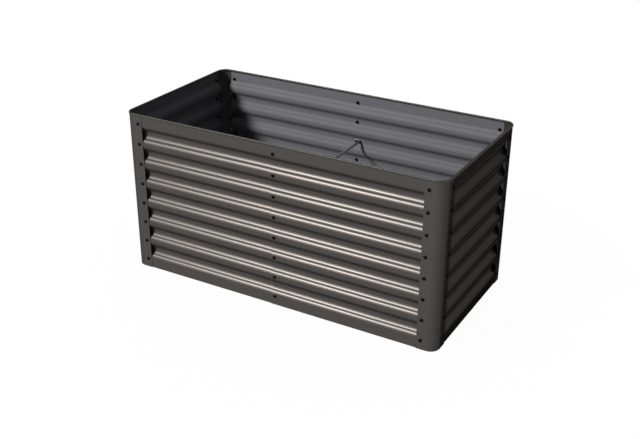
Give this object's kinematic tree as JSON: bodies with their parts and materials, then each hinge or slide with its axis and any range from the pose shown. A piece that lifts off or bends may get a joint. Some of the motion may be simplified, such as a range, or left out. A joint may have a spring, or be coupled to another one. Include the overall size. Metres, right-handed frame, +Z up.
{
  "type": "raised garden bed",
  "caption": "Rectangular open-bottomed garden bed of ribbed steel panels bolted to rounded corner posts, with tie straps across the middle and an edging strip on the rim.",
  "frame": {"origin": "on the ground, under the middle of the bed", "axes": "+X along the length, to the right as seen from the front; -Y faces the front; +Z up"},
  "size_m": [1.2266, 0.6066, 0.6022],
  "materials": {
    "panel_paint": "satin bronze-grey powder coat on ribbed sheet",
    "post_paint": "satin bronze-grey powder coat on smooth sheet",
    "fastener_black": "black-coated steel bolts and nuts",
    "strap_zinc": "zinc-plated strap",
    "edging_rubber": "satin black rubber edging"
  },
  "bodies": {
    "root": {"front_panel_left": "panel_paint", "front_panel_right": "panel_paint", "back_panel_left": "panel_paint", "back_panel_right": "panel_paint", "end_panel_left": "panel_paint", "end_panel_right": "panel_paint", "corner_post_front_left": "post_paint", "corner_post_front_right": "post_paint", "corner_post_back_left": "post_paint", "corner_post_back_right": "post_paint", "tie_strap_lower": "strap_zinc", "tie_strap_upper": "strap_zinc", "seam_bolt_front_1": "fastener_black", "seam_nut_front_1": "fastener_black", "seam_bolt_front_2": "fastener_black", "seam_nut_front_2": "fastener_black", "seam_bolt_front_3": "fastener_black", "seam_nut_front_3": "fastener_black", "seam_bolt_front_4": "fastener_black", "seam_nut_front_4": "fastener_black", "seam_bolt_front_5": "fastener_black", "seam_nut_front_5": "fastener_black", "seam_bolt_front_6": "fastener_black", "seam_nut_front_6": "fastener_black", "seam_bolt_front_7": "fastener_black", "seam_nut_front_7": "fastener_black", "seam_bolt_front_8": "fastener_black", "seam_nut_front_8": "fastener_black", "seam_bolt_back_1": "fastener_black", "seam_nut_back_1": "fastener_black", "seam_bolt_back_2": "fastener_black", "seam_nut_back_2": "fastener_black", "seam_bolt_back_3": "fastener_black", "seam_nut_back_3": "fastener_black", "seam_bolt_back_4": "fastener_black", "seam_nut_back_4": "fastener_black", "seam_bolt_back_5": "fastener_black", "seam_nut_back_5": "fastener_black", "seam_bolt_back_6": "fastener_black", "seam_nut_back_6": "fastener_black", "seam_bolt_back_7": "fastener_black", "seam_nut_back_7": "fastener_black", "seam_bolt_back_8": "fastener_black", "seam_nut_back_8": "fastener_black", "edging_strip": "edging_rubber"}
  },
  "joints": []
}
